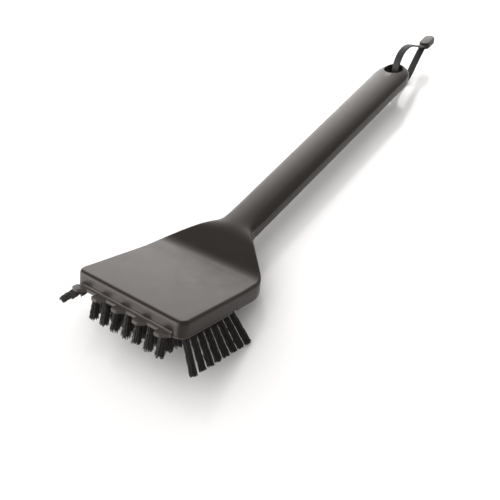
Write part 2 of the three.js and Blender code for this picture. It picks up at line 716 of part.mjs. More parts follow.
function tagRivet() {
  const low = TAG_Z - TAG_INNER - TAG_SHELL;
  const high = TAG_Z + TAG_INNER + TAG_SHELL - 0.6 - GAP;
  const profile = [
    new THREE.Vector2(0, low),
    new THREE.Vector2(RIVET_HEAD_R, low),
    new THREE.Vector2(RIVET_HEAD_R, low + RIVET_HEAD),
    new THREE.Vector2(RIVET_R, low + RIVET_HEAD),
    new THREE.Vector2(RIVET_R, high),
    new THREE.Vector2(0, high),
  ];
  return new THREE.LatheGeometry(profile, 14).rotateX(Math.PI / 2).translate(0, TAG_Y, 0);
}

add(hanger, 'tag_rivet', tagRivet(), steel());

// ---------- placing ----------
head.rotation.x = -RISE;
const handleEnd = onSpine(END_S, 0, 0).applyAxisAngle(new THREE.Vector3(1, 0, 0), -RISE);
hanger.position.copy(handleEnd);
group.updateMatrixWorld(true);
const bounds = new THREE.Box3().setFromObject(group, true);
group.position.set(0, -(bounds.min.y + bounds.max.y) / 2, TABLE_GAP - handleEnd.z);

export default group;
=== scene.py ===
import math
import random

import bmesh
import bpy
from mathutils import Matrix, Vector


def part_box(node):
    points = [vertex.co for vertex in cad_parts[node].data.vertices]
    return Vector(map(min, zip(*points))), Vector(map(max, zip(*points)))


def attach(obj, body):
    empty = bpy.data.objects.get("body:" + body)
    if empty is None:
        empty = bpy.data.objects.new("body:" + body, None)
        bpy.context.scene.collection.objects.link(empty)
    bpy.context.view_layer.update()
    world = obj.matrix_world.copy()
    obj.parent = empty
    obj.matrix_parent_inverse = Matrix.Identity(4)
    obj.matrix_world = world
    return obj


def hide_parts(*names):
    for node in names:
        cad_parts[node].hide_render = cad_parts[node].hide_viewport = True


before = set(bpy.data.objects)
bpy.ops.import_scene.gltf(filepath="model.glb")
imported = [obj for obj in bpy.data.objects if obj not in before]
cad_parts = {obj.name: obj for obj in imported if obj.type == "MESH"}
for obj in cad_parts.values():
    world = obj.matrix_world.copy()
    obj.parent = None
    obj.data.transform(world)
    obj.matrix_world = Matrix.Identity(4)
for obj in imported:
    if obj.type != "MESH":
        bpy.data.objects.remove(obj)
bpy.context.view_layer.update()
random.seed(11)

# ---------- dimensions, in millimetres ----------
RISE = math.radians(24)
GAP = 0.3

HEAD_HALF = 44.4
RIM = 2.5
SIDE_HEIGHT = 11.2
FRONT_Y = -2.6
CORNER_R = 6.5
WALL = 2.0
ROOF = 2.3
BEND_Y = 72.0
BEND_R = 20.0
HANDLE_LINE_Y = 54.43
UNDER_RAMP = math.radians(38)
UNDER_RAMP_R = 60.0
DISH_START = 57.0                # the flat top starts to curve up, very gently
DISH_R = 110.0
DISH_SLOPE = 0.07
PLATEAU_END = 75.0
PLATEAU_END_R = 15.0
RAMP = math.radians(46)
RAMP_R = 32.0

NECK_S = 110.4
NECK_HALF = 13.9
END_HALF = 16.1
SHOULDER_S = 76.2
SHOULDER_R = 19.0
NECK_R = 12.0
END_S = 375.6
END_TAPER = 22.0
END_POWER = 2.5
END_ROUND = 5.0                  # how far in from its end the handle's top is rounded
END_DROP = 4.2
NECK_THICK = 11.6
END_THICK = 13.0
CROWN = 3.3
CROWN_SPAN = (87, 127)           # lengths along the lower edge where a shape changes over
HANDLE_ROUND_WIDE = 7.0
HANDLE_ROUND_HIGH = 2.0
ROUND_SPAN = (102, 137)
LEAN_SPAN = (60, 125)
THINNEST = 0.3
HOLE_FROM_END = 12.2
HOLE_R = 8.2
HOLE_FLARE = 3.0
LOWER_EDGE = 0.7

CHANNEL_START = 126.0
CHANNEL_END = END_S - 37
CHANNEL_MARGIN = 5.0
CHANNEL_DEPTH = 8.0
STRIP_LAP = 1.3
STRIP_THICK = 1.8
STRIP_INSET = 0.4

PLATE_BOTTOM = -SIDE_HEIGHT
PLATE_TOP = -4.2
PLATE_REAR = 57.6
FLANGE = 1.0
FLANGE_REAR = 49.5
GROOVE_Z = -7.2
NOTCH_HALF = 37.5
LIP_THICK = 2.1
LIP_Y = -4.2
TEETH = 5
TOOTH_PITCH = 17.2
TOOTH_X = -40.6
TOOTH_Y = -8.8
TOOTH_ROOT = 8.0
TOOTH_TIP = 4.9
TOOTH_ROUND = 1.5

COLUMNS = 7
ROWS = 8
COLUMN_PITCH = 9.4
ROW_PITCH = 7.2
FIELD_Y = -0.4
FRONT_ROOT_Y = 0.9
FRONT_TIP_Y = -1.2
TIP_Z = -30.0
TIP_RISE = 0.038
SIDE_BASE_X = 41.0
SIDE_BASE_Y = 3.8
SIDE_BASE_PITCH = 6.06
SIDE_TIP_X = 56.3
SIDE_TIP_Y = -3.4
SIDE_TIP_PITCH = 7.54
SIDE_TIP_Z = -27.7
SIDE_TIP_FALL = -0.038
SOCKET_R = 2.05
SOCKET_DEPTH = 4.4
FRONT_SOCKET_DEPTH = 2.6
WIRE = 1.0

FILAMENTS = 44
FILAMENT_R = 0.27
ROOT_R = 1.8
TIP_R = 2.85
SIDE_TIP_R = 2.1
CRIMP = 0.3
CRIMP_LENGTH = 4.2
CRIMP_FADE = 0.25                # share of a filament, from its root, where the crimp grows
TUFT_LEAN = 0.25
TURN_STEP = 2.39996              # the golden angle, for an even packing
TURN_STRAY = (-0.15, 0.15)
REACH_STRAY = (-0.12, 0.2)
LENGTH_STRAY = (-1.5, 0.15)
BOW_STRAY = (0.4, 1.2)
FULL_TURN = 6.28

SCREW_X = 2.5 * COLUMN_PITCH
SCREW_ROWS = (1.5, 5.5)
SCREW_R = 1.2
SCREW_HEAD_R = 2.6
SCREW_HEAD = 1.7
SCREW_TOP = -1.7
THREAD_PITCH = 0.6
THREAD_DEPTH = 0.2
CROSS_HALF = 0.4
CROSS_REACH = 1.9
CROSS_DEPTH = 0.7
BOSS_R = 2.7

TABLE_GAP = 16.3
STRAP_W = 6.6
STRAP_T = 1.5
TAG_Y = 65.6
TAG_Z = 5.4
TAG_LONG = 20.8
TAG_WIDE = 10.6
TAG_SHELL = 1.2
TAG_EDGE = 0.9
TAG_ROOF = 0.6                   # what is left of the upper shell above the rivet
TAG_YAW = math.radians(-1)
STRAP_PAST_PIN = 4.0
RIVET_R = 1.3
RIVET_HEAD_R = 2.2
RIVET_HEAD = 0.8

# ---------- placing ----------
# The head's frame is tilted by RISE about x. Its origin follows from the plate's box.
COS, SIN = math.cos(RISE), math.sin(RISE)
plate_low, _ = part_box("brush_plate")
HEAD_Y = plate_low.y * 1000 - (TOOTH_Y * COS + PLATE_BOTTOM * SIN)
HEAD_Z = plate_low.z * 1000 + (PLATE_REAR * SIN - PLATE_BOTTOM * COS)


def in_head(x, y, z):
    """World point, in metres, of a point in the head's frame."""
    return Vector((x, y * COS + z * SIN + HEAD_Y, -y * SIN + z * COS + HEAD_Z)) / 1000


def rounded_line(corners, steps=14):
    """A line through corners (x, y, radius), with an arc where there is a radius."""
    points = []
    for i, (x, y, radius) in enumerate(corners):
        corner = Vector((x, y))
        if not radius:
            points.append(corner)
            continue
        before = (Vector(corners[i - 1][:2]) - corner).normalized()
        after = (Vector(corners[i + 1][:2]) - corner).normalized()
        half = before.angle(after) / 2
        centre = corner + (before + after).normalized() * (radius / math.sin(half))
        start = corner + before * (radius / math.tan(half)) - centre
        end = corner + after * (radius / math.tan(half)) - centre
        turn = math.atan2(start.x * end.y - start.y * end.x, start.dot(end))
        for k in range(steps + 1):
            points.append(Matrix.Rotation(turn * k / steps, 2) @ start + centre)
    return points


def value_at(line, x):
    for a, b in zip(line, line[1:]):
        if b.x >= x:
            break
    return a.y + (b.y - a.y) * (x - a.x) / (b.x - a.x)


def smooth(low, high, value):
    t = min(1.0, max(0.0, (value - low) / (high - low)))
    return t * t * (3 - 2 * t)


UNDER_SLOPE, RISE_SLOPE = math.tan(UNDER_RAMP), math.tan(RISE)
steep_top = (BEND_Y * UNDER_SLOPE - HANDLE_LINE_Y * RISE_SLOPE) / (UNDER_SLOPE - RISE_SLOPE)
lower_line = rounded_line([
    (FRONT_Y - 10, -SIDE_HEIGHT, 0),
    (BEND_Y, -SIDE_HEIGHT, BEND_R),
    (steep_top, (steep_top - BEND_Y) * UNDER_SLOPE - SIDE_HEIGHT, UNDER_RAMP_R),
    (400, (400 - HANDLE_LINE_Y) * RISE_SLOPE - SIDE_HEIGHT, 0),
])
lower_lengths = [FRONT_Y - 10]
for first, second in zip(lower_line, lower_line[1:]):
    lower_lengths.append(lower_lengths[-1] + (second - first).length)


def on_spine(s, x, height):
    """Point of the head's frame at a length s along the lower edge."""
    i = next(k for k in range(1, len(lower_line)) if lower_lengths[k] >= s)
    share = (s - lower_lengths[i - 1]) / (lower_lengths[i] - lower_lengths[i - 1])
    point = lower_line[i - 1].lerp(lower_line[i], share)
    lean = RISE * smooth(*LEAN_SPAN, s)
    return Vector((x, point.x - height * math.sin(lean), point.y + height * math.cos(lean)))


handle_end = in_head(*on_spine(END_S, 0, 0)) * 1000


def at_end(x, y, z):
    """World point from the handle's end: y past it, z above the handle's underside."""
    return Vector((x, handle_end.y + y, handle_end.z + z)) / 1000


def on_handle(x, s, z):
    return at_end(x, s - END_S, z)


half_width_line = rounded_line([
    (FRONT_Y, HEAD_HALF, 0),
    (SHOULDER_S, HEAD_HALF, SHOULDER_R),
    (NECK_S, NECK_HALF, NECK_R),
    (END_S, END_HALF, 0),
])
neck_top = on_spine(NECK_S, 0, NECK_THICK)
end_top = on_spine(END_S, 0, END_THICK)
handle_slope = (end_top.z - neck_top.z) / (end_top.y - neck_top.y)
RAMP_SLOPE = math.tan(RAMP)
ramp_top = neck_top.z - neck_top.y * handle_slope + PLATEAU_END * RAMP_SLOPE
ramp_top /= RAMP_SLOPE - handle_slope
top_line = rounded_line([
    (FRONT_Y - 10, 0, 0),
    (DISH_START, 0, DISH_R),
    (PLATEAU_END, (PLATEAU_END - DISH_START) * DISH_SLOPE, PLATEAU_END_R),
    (ramp_top, (ramp_top - PLATEAU_END) * RAMP_SLOPE, RAMP_R),
    (end_top.y + 20, end_top.z + 20 * handle_slope, 0),
], 20)


def thickness(s):
    low, high = 0.0, 30.0
    for _ in range(40):
        middle = (low + high) / 2
        point = on_spine(s, 0, middle)
        if point.z < value_at(top_line, point.y):
            low = middle
        else:
            high = middle
    return low


def rounding(radius, drop, distance):
    t = min(1.0, max(0.0, 1 - distance / radius))
    return drop * (1 - math.sqrt(1 - t * t))


def half_width(s):
    end_part = min(1.0, max(0.0, (s - (END_S - END_TAPER)) / END_TAPER))
    plain = value_at(half_width_line, s) - rounding(CORNER_R, CORNER_R, s - FRONT_Y)
    return plain * (1 - end_part ** END_POWER) ** (1 / END_POWER)


# ---------- meshes ----------
def new_object(name, vertices, faces):
    mesh = bpy.data.meshes.new(name)
    mesh.from_pydata([tuple(v) for v in vertices], [], faces)
    mesh.validate()
    piece = bpy.data.objects.new(name, mesh)
    bpy.context.scene.collection.objects.link(piece)
    return piece


def loft(name, rings):
    """Closed surface through rings of equally many points, capped at both ends."""
    count = len(rings[0])
    vertices = [p for ring in rings for p in ring]
    faces = []
    for i in range(len(rings) - 1):
        for j in range(count):
            a = i * count + j
            b = i * count + (j + 1) % count
            faces.append((b, a, a + count, b + count))
    faces.append(tuple(range(count)))
    faces.append(tuple(reversed(range((len(rings) - 1) * count, len(rings) * count))))
    return new_object(name, vertices, faces)


def facing_out(piece):
    work = bmesh.new()
    work.from_mesh(piece.data)
    bmesh.ops.recalc_face_normals(work, faces=work.faces)
    work.to_mesh(piece.data)
    work.free()
    return piece


def prism(outline, z0, z1, place):
    """Solid between two heights over a plan outline of (x, y) points."""
    low = [place(x, y, z0) for x, y in outline]
    high = [place(x, y, z1) for x, y in outline]
    return facing_out(loft("tool", [low, high]))


def drum(x, y, z0, z1, radius, place, sides=28):
    angles = [2 * math.pi * k / sides for k in range(sides)]
    outline = [(x + radius * math.cos(a), y + radius * math.sin(a)) for a in angles]
    return prism(outline, z0, z1, place)


def block(x0, x1, y0, y1, z0, z1, place):
    return prism([(x0, y0), (x1, y0), (x1, y1), (x0, y1)], z0, z1, place)


def spun(profile, place, sides=48):
    """Solid turned about the z axis from (radius, z) points that start and end on the axis."""
    angles = [2 * math.pi * k / sides for k in range(sides)]
    rings = []
    for radius, z in profile:
        r = max(radius, 1e-4)
        rings.append([place(r * math.cos(a), r * math.sin(a), z) for a in angles])
    return facing_out(loft("tool", rings))


def combine(target, tools, operation):
    """Cuts or joins the tools, one after another, and removes them."""
    for tool in tools if isinstance(tools, list) else [tools]:
        modifier = target.modifiers.new("combine", "BOOLEAN")
        modifier.object = tool
        modifier.operation = operation
        modifier.solver = "MANIFOLD"
        graph = bpy.context.evaluated_depsgraph_get()
        made = bpy.data.meshes.new_from_object(target.evaluated_get(graph))
        target.modifiers.clear()
        target.data = made
        bpy.data.objects.remove(tool)
    return target


def joined(tools):
    """One object of several that do not touch."""
    vertices, faces = [], []
    for tool in tools:
        base = len(vertices)
        vertices += [v.co.copy() for v in tool.data.vertices]
        faces += [tuple(base + i for i in f.vertices) for f in tool.data.polygons]
        bpy.data.objects.remove(tool)
    return new_object("tool", vertices, faces)


def rounded_rect(half_x, y0, y1, radius, steps=10):
    points = []
    corners = [(half_x, y0, -90), (half_x, y1, 0), (-half_x, y1, 90), (-half_x, y0, 180)]
    for x, y, start in corners:
        cx = x - math.copysign(radius, x)
        cy = y + radius if y == y0 else y - radius
        for k in range(steps + 1):
            a = math.radians(start + 90 * k / steps)
            points.append((cx + radius * math.cos(a), cy + radius * math.sin(a)))
    return points


def finish_surface(piece, angle=32, bevel=0.0, segments=2):
    """Smooth shading with sharp edges kept, and a fine rounding along them."""
    for face in piece.data.polygons:
        face.use_smooth = True
    if bevel:
        modifier = piece.modifiers.new("edge", "BEVEL")
        modifier.width = bevel / 1000
        modifier.segments = segments
        modifier.limit_method = "ANGLE"
        modifier.angle_limit = math.radians(angle)
        modifier.harden_normals = True
    else:
        piece.data.set_sharp_from_angle(angle=math.radians(angle))
    return piece


# ---------- materials ----------
NOISE_LOW, NOISE_HIGH = 0.3, 0.7     # the range that a noise mostly keeps to
TONE_SCALE = 38
GLOSS_SCALE = 90
BUMP_DEPTH = 0.0002
GLEAM = 0.35
WARM_TINT = (1, 0.92, 0.87, 1)


def new_material(name):
    material = bpy.data.materials.new(name)
    material.use_nodes = True
    return material, material.node_tree.nodes, material.node_tree.links


def noise_of(nodes, links, coordinate, scale, detail=3.0, rough=0.5):
    node = nodes.new("ShaderNodeTexNoise")
    node.inputs["Scale"].default_value = scale
    node.inputs["Detail"].default_value = detail
    node.inputs["Roughness"].default_value = rough
    links.new(coordinate, node.inputs["Vector"])
    return node.outputs["Fac"]


def spread(nodes, links, value, low, high):
    node = nodes.new("ShaderNodeMapRange")
    node.inputs["From Min"].default_value = NOISE_LOW
    node.inputs["From Max"].default_value = NOISE_HIGH
    node.inputs["To Min"].default_value = low
    node.inputs["To Max"].default_value = high
    links.new(value, node.inputs["Value"])
    return node.outputs["Result"]


def moulded(name, dark, light, rough, grain=0.04, grain_scale=2600, metal=0.0):
    """Surface with a drifting tone, an uneven gloss and a fine grain."""
    material, nodes, links = new_material(name)
    shader = nodes["Principled BSDF"]
    shader.inputs["Metallic"].default_value = metal
    shader.inputs["Specular IOR Level"].default_value = GLEAM
    if not metal:
        shader.inputs["Specular Tint"].default_value = WARM_TINT
    coordinate = nodes.new("ShaderNodeTexCoord").outputs["Object"]
    tone = noise_of(nodes, links, coordinate, TONE_SCALE, 4)
    mix = nodes.new("ShaderNodeMix")
    mix.data_type = "RGBA"
    mix.inputs["A"].default_value = (*dark, 1)
    mix.inputs["B"].default_value = (*light, 1)
    links.new(spread(nodes, links, tone, 0, 1), mix.inputs["Factor"])
    links.new(mix.outputs["Result"], shader.inputs["Base Color"])
    gloss = noise_of(nodes, links, coordinate, GLOSS_SCALE, 5, 0.6)
    links.new(spread(nodes, links, gloss, *rough), shader.inputs["Roughness"])
    fine = noise_of(nodes, links, coordinate, grain_scale, 2)
    bump = nodes.new("ShaderNodeBump")
    bump.inputs["Strength"].default_value = grain
    bump.inputs["Distance"].default_value = BUMP_DEPTH
    links.new(fine, bump.inputs["Height"])
    links.new(bump.outputs["Normal"], shader.inputs["Normal"])
    return material


body_plastic = moulded(
    "body_plastic", (0.0115, 0.0092, 0.0080), (0.0150, 0.0122, 0.0107), (0.28, 0.34),
)
plate_plastic = moulded(
    "plate_plastic", (0.050, 0.0445, 0.0405), (0.060, 0.0535, 0.0490), (0.36, 0.46),
)
nylon = moulded(
    "nylon", (0.006, 0.0058, 0.0055), (0.014, 0.0132, 0.013), (0.45, 0.6),
    grain=0.02, grain_scale=900,
)
strap_rubber = moulded(
    "strap_rubber", (0.022, 0.022, 0.0235), (0.030, 0.030, 0.0315), (0.5, 0.62),
    grain=0.12, grain_scale=1500,
)
steel = moulded(
    "steel", (0.50, 0.50, 0.51), (0.62, 0.62, 0.63), (0.22, 0.36),
    grain=0.02, grain_scale=2000, metal=1.0,
)


def show(piece, name, body, slot, material, *nodes):
    """Names a finished piece, gives it its material and puts it in its body's place."""
    piece.name = name
    piece.data.name = name
    piece.data.materials.clear()
    piece.data.materials.append(material)
    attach(piece, body)
    if nodes:
        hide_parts(*nodes)
    return piece


# ---------- housing and handle ----------
# Tools that cut reach a few millimetres past the solid, so that no face is shared.
ROUND_STEPS = 10
CROWN_STEPS = 9


def housing_ring(s):
    half = half_width(s)
    full = thickness(s)
    to_handle = smooth(*ROUND_SPAN, s)
    round_wide = min(RIM + (HANDLE_ROUND_WIDE - RIM) * to_handle, 0.6 * half)
    round_high = min(RIM + (HANDLE_ROUND_HIGH - RIM) * smooth(*CROWN_SPAN, s), 0.55 * full)
    crown = CROWN * smooth(*CROWN_SPAN, s)
    top = full - rounding(RIM, RIM, s - FRONT_Y) - rounding(END_ROUND, END_DROP, END_S - s)
    flat = half - round_wide
    edge = min(LOWER_EDGE, half * 0.5)

    def height_at(x):
        t = max(0.0, (abs(x) - flat) / round_wide)
        fall = crown * (x / half) ** 2 + round_high * (1 - math.sqrt(max(0.0, 1 - t * t)))
        return max(top - fall, edge + THINNEST)

    right = []
    for k in range(4):
        a = math.radians(-90 + 30 * k)
        right.append((half - edge + edge * math.cos(a), edge + edge * math.sin(a)))
    for k in range(ROUND_STEPS + 1):
        x = flat + round_wide * math.cos(math.pi / 2 * k / ROUND_STEPS)
        right.append((x, height_at(x)))
    for k in range(1, CROWN_STEPS):
        x = flat * (1 - k / CROWN_STEPS)
        right.append((x, height_at(x)))
    left = [(-x, z) for x, z in reversed(right)]
    outline = right + [(0, height_at(0))] + left
    return [in_head(*on_spine(s, x, z)) for x, z in outline]


stations = [FRONT_Y + CORNER_R * (1 - math.cos(math.pi / 2 * k / 16)) for k in range(17)]
stations += [8, 16, 24, 32, 40, 46, 51, 55, 58]
stations += [60 + 1.5 * k for k in range(50)]
stations += [137 + 9 * k for k in range(24)]
stations += [END_S - END_TAPER * (1 - math.sin(math.radians(88) * k / 22)) for k in range(23)]
shell = facing_out(loft("shell", [housing_ring(s) for s in stations]))

inside = rounded_rect(HEAD_HALF - WALL, FRONT_Y + WALL, PLATE_REAR + GAP, CORNER_R - WALL)
below = -SIDE_HEIGHT - 5
combine(shell, prism(inside, below, -ROOF, in_head), "DIFFERENCE")
flange_top = PLATE_BOTTOM + FLANGE + GAP
wide = HEAD_HALF + 3
flange_room = block(-wide, wide, FRONT_Y - 3, FLANGE_REAR + GAP, below, flange_top, in_head)
combine(shell, flange_room, "DIFFERENCE")
notch = block(-NOTCH_HALF, NOTCH_HALF, FRONT_Y - 3, FRONT_Y + WALL + 1, below, GROOVE_Z, in_head)
combine(shell, notch, "DIFFERENCE")
screw_places = [
    (side * SCREW_X, FIELD_Y + row * ROW_PITCH) for row in SCREW_ROWS for side in (-1, 1)
]
for x, y in screw_places:
    combine(shell, drum(x, y, PLATE_TOP + GAP, -ROOF + 0.5, BOSS_R, in_head), "UNION")
    combine(shell, drum(x, y, PLATE_TOP - 3, SCREW_TOP + GAP, SCREW_R + GAP, in_head), "DIFFERENCE")


def channel_outline(extra, steps=24):
    """Tapered slot along the handle with round ends, as (x, s) points."""
    wide_start = value_at(half_width_line, CHANNEL_START) - CHANNEL_MARGIN + extra
    wide_end = value_at(half_width_line, CHANNEL_END) - CHANNEL_MARGIN + extra
    s0 = CHANNEL_START + wide_start - extra
    s1 = CHANNEL_END - wide_end + extra
    points = []
    for centre, radius, start in ((s0, wide_start, 180), (s1, wide_end, 0)):
        for k in range(steps + 1):
            a = math.radians(start + 180 * k / steps)
            points.append((radius * math.cos(a), centre + radius * math.sin(a)))
    return points


recess_top = STRIP_INSET + STRIP_THICK + GAP
combine(shell, prism(channel_outline(STRIP_LAP + GAP), -3, recess_top, on_handle), "DIFFERENCE")
combine(shell, prism(channel_outline(0), -3, CHANNEL_DEPTH, on_handle), "DIFFERENCE")

hole_profile = [(0, -3), (HOLE_R + HOLE_FLARE, -3)]
for k in range(9):
    a = math.pi / 2 * k / 8
    hole_profile.append((HOLE_R + HOLE_FLARE * (1 - math.sin(a)), HOLE_FLARE * (1 - math.cos(a))))
for k in range(9):
    a = math.pi / 2 * k / 8
    lift = HOLE_FLARE * (1 - math.sin(a))
    hole_profile.append((HOLE_R + HOLE_FLARE * (1 - math.cos(a)), END_THICK - lift))
hole_profile += [(HOLE_R + HOLE_FLARE, END_THICK + 3), (0, END_THICK + 3)]
hanging_hole = spun(hole_profile, lambda x, y, z: at_end(x, y - HOLE_FROM_END, z), 64)
combine(shell, hanging_hole, "DIFFERENCE")
finish_surface(shell, 34)
show(shell, "handle_and_housing", "brush", "body", body_plastic, "handle_shell")

strip = prism(channel_outline(STRIP_LAP), STRIP_INSET, STRIP_INSET + STRIP_THICK, on_handle)
finish_surface(strip, 40, 0.35, 3)
show(strip, "underside_strip", "brush", "plate", plate_plastic, "handle_underside_strip")


# ---------- brush plate ----------
def field_tuft(row, column):
    x = (column - (COLUMNS - 1) / 2) * COLUMN_PITCH
    y = FIELD_Y + row * ROW_PITCH
    root_y = FRONT_ROOT_Y if row == 0 else y
    tip_y = FRONT_TIP_Y if row == 0 else y
    tip_z = TIP_Z + TIP_RISE * (tip_y - FRONT_TIP_Y)
    return Vector((x, root_y, PLATE_BOTTOM)), Vector((x, tip_y, tip_z))


def side_tuft(side, i):
    tip_y = SIDE_TIP_Y + i * SIDE_TIP_PITCH
    root = Vector((side * SIDE_BASE_X, SIDE_BASE_Y + i * SIDE_BASE_PITCH, PLATE_BOTTOM))
    tip = Vector((side * SIDE_TIP_X, tip_y, SIDE_TIP_Z + SIDE_TIP_FALL * (tip_y - SIDE_TIP_Y)))
    return root, tip


def across(along):
    """Two directions square to a direction and to each other."""
    first = along.orthogonal().normalized()
    return first, along.cross(first).normalized()


def rod(start, end, radius, sides=20):
    along = (end - start).normalized()
    u, v = across(along)
    rings = []
    for centre in (start, end):
        angles = [2 * math.pi * k / sides for k in range(sides)]
        ring = [centre + u * radius * math.cos(a) + v * radius * math.sin(a) for a in angles]
        rings.append([in_head(*p) for p in ring])
    return facing_out(loft("tool", rings))


def blind_socket(root, tip, depth):
    inward = (root - tip).normalized()
    return rod(root - inward * 4, root + inward * depth, SOCKET_R)


core_half = HEAD_HALF - WALL - GAP
core = rounded_rect(core_half, FRONT_Y + WALL + GAP, PLATE_REAR, CORNER_R - WALL - GAP)
plate = prism(core, PLATE_BOTTOM, PLATE_TOP, in_head)
flange = rounded_rect(HEAD_HALF, FRONT_Y, FLANGE_REAR, CORNER_R)
combine(plate, prism(flange, PLATE_BOTTOM, PLATE_BOTTOM + FLANGE, in_head), "UNION")

lip_top = PLATE_BOTTOM + LIP_THICK
lip_outline = [
    (FRONT_Y + WALL + 2, PLATE_BOTTOM),
    (FRONT_Y + WALL + 2, GROOVE_Z - GAP),
    (FRONT_Y, GROOVE_Z - GAP),
]
curve_from = Vector((FRONT_Y, GROOVE_Z - GAP - 0.3))
curve_by = Vector((FRONT_Y, lip_top))
curve_to = Vector((LIP_Y, lip_top))
for k in range(11):
    t = k / 10
    point = curve_from * (1 - t) ** 2 + curve_by * 2 * t * (1 - t) + curve_to * t * t
    lip_outline.append((point.x, point.y))
lip_outline.append((LIP_Y, PLATE_BOTTOM))
lip_half = NOTCH_HALF - GAP
lip_rings = [[in_head(x, y, z) for y, z in lip_outline] for x in (-lip_half, lip_half)]
combine(plate, facing_out(loft("tool", lip_rings)), "UNION")


def tooth_outline(x):
    """One straight side and one slanted side, with rounded corners."""
    points = [(x + TOOTH_ROOT + 0.5, LIP_Y + 0.2), (x, LIP_Y + 0.2)]
    curves = [
        ((x, TOOTH_Y + TOOTH_ROUND), (x, TOOTH_Y), (x + TOOTH_ROUND, TOOTH_Y)),
        (
            (x + TOOTH_TIP - 1, TOOTH_Y),
            (x + TOOTH_TIP, TOOTH_Y),
            (x + TOOTH_TIP + 0.8, TOOTH_Y + 1.2),
        ),
    ]
    for a, b, c in curves:
        for k in range(7):
            t = k / 6
            point = Vector(a) * (1 - t) ** 2 + Vector(b) * 2 * t * (1 - t) + Vector(c) * t * t
            points.append((point.x, point.y))
    points.append((x + TOOTH_ROOT, LIP_Y - 0.6))
    return points


for i in range(TEETH):
    tooth = prism(tooth_outline(TOOTH_X + i * TOOTH_PITCH), PLATE_BOTTOM, lip_top, in_head)
    combine(plate, tooth, "UNION")
sockets = []
for column in range(COLUMNS):
    sockets.append(blind_socket(*field_tuft(0, column), FRONT_SOCKET_DEPTH))
    for row in range(1, ROWS):
        root, _ = field_tuft(row, column)
        sockets.append(drum(root.x, root.y, PLATE_BOTTOM - 1, PLATE_TOP + 1, SOCKET_R, in_head, 20))
for i in range(ROWS):
    sockets.append(blind_socket(*side_tuft(-1, i), SOCKET_DEPTH))
    sockets.append(blind_socket(*side_tuft(1, i), SOCKET_DEPTH))
combine(plate, joined(sockets), "DIFFERENCE")
seat_top = PLATE_BOTTOM + SCREW_HEAD + 2 * GAP
for x, y in screw_places:
    for top, radius in ((PLATE_TOP + 1, SCREW_R), (seat_top, SCREW_HEAD_R)):
        bore = drum(x, y, PLATE_BOTTOM - 1, top, radius + GAP, in_head)
        combine(plate, bore, "DIFFERENCE")
finish_surface(plate, 38, 0.25, 2)
show(plate, "brush_plate_with_lip", "brush", "plate", plate_plastic, "brush_plate")


# ---------- tufts of crimped nylon filaments ----------
def filament(vertices, faces, start, end, bow, phase, rings=11, sides=5):
    """Adds one crimped filament, a closed tube, to the lists."""
    along = end - start
    length = along.length
    along.normalize()
    u, v = across(along)
    turn = random.uniform(0, math.pi)
    wave = u * math.cos(turn) + v * math.sin(turn)
    base = len(vertices)
    for i in range(rings):
        t = i / (rings - 1)
        swing = math.sin(phase + 2 * math.pi * t * length / CRIMP_LENGTH)
        bend = CRIMP * swing * smooth(0, CRIMP_FADE, t)
        centre = start + along * (length * t) + wave * bend + bow * (t * t)
        for k in range(sides):
            a = 2 * math.pi * k / sides
            rim = centre + u * FILAMENT_R * math.cos(a) + v * FILAMENT_R * math.sin(a)
            vertices.append(in_head(*rim))
    for i in range(rings - 1):
        for k in range(sides):
            a = base + i * sides + k
            b = base + i * sides + (k + 1) % sides
            faces.append((a, b, b + sides, a + sides))
    faces.append(tuple(base + k for k in reversed(range(sides))))
    faces.append(tuple(base + (rings - 1) * sides + k for k in range(sides)))


def bundle(vertices, faces, root, tip, depth, tip_r):
    """One tuft: filaments packed in the socket that open a little towards their tips."""
    along = (tip - root).normalized()
    u, v = across(along)
    start = root - along * (depth - GAP)
    lean = (u * random.uniform(-1, 1) + v * random.uniform(-1, 1)) * TUFT_LEAN
    for i in range(FILAMENTS):
        radius = math.sqrt((i + 0.5) / FILAMENTS)
        angle = i * TURN_STEP + random.uniform(*TURN_STRAY)
        way = u * math.cos(angle) + v * math.sin(angle)
        stray = 1 + random.uniform(*REACH_STRAY)
        end = tip + way * radius * tip_r * stray + along * random.uniform(*LENGTH_STRAY)
        bow = lean * random.uniform(*BOW_STRAY)
        base = start + way * radius * (ROOT_R - 0.05)
        filament(vertices, faces, base, end, bow, random.uniform(0, FULL_TURN))


def tuft_piece(name, tufts, nodes):
    vertices, faces = [], []
    for tuft in tufts:
        bundle(vertices, faces, *tuft)
    piece = new_object(name, vertices, faces)
    for face in piece.data.polygons:
        face.use_smooth = True
    piece.data.set_sharp_from_angle(angle=math.radians(60))
    return show(piece, name, "brush", "bristle", nylon, *nodes)


for column in range(COLUMNS):
    tuft = (*field_tuft(0, column), FRONT_SOCKET_DEPTH, TIP_R)
    tuft_piece(f"front_filaments_{column + 1}", [tuft], [f"front_tuft_{column + 1}"])
for side, word in ((-1, "left"), (1, "right")):
    for i in range(ROWS):
        tuft = (*side_tuft(side, i), SOCKET_DEPTH, SIDE_TIP_R)
        tuft_piece(f"{word}_filaments_{i + 1}", [tuft], [f"{word}_tuft_{i + 1}"])
wire_depth = PLATE_TOP - PLATE_BOTTOM + 2 * GAP
for row in range(1, ROWS):
    tufts = [(*field_tuft(row, column), wire_depth, TIP_R) for column in range(COLUMNS)]
    tuft_piece(f"inner_filaments_{row}", tufts, [f"inner_tuft_row_{row}"])
    y = field_tuft(row, 0)[0].y
    reach = (COLUMNS - 1) / 2 * COLUMN_PITCH + ROOT_R
    height = PLATE_TOP + GAP + WIRE / 2
    wire = rod(Vector((-reach, y, height)), Vector((reach, y, height)), WIRE / 2, 12)
    finish_surface(wire, 40)
    show(wire, f"drawing_wire_{row}", "brush", "steel", steel, f"inner_tuft_row_{row}")

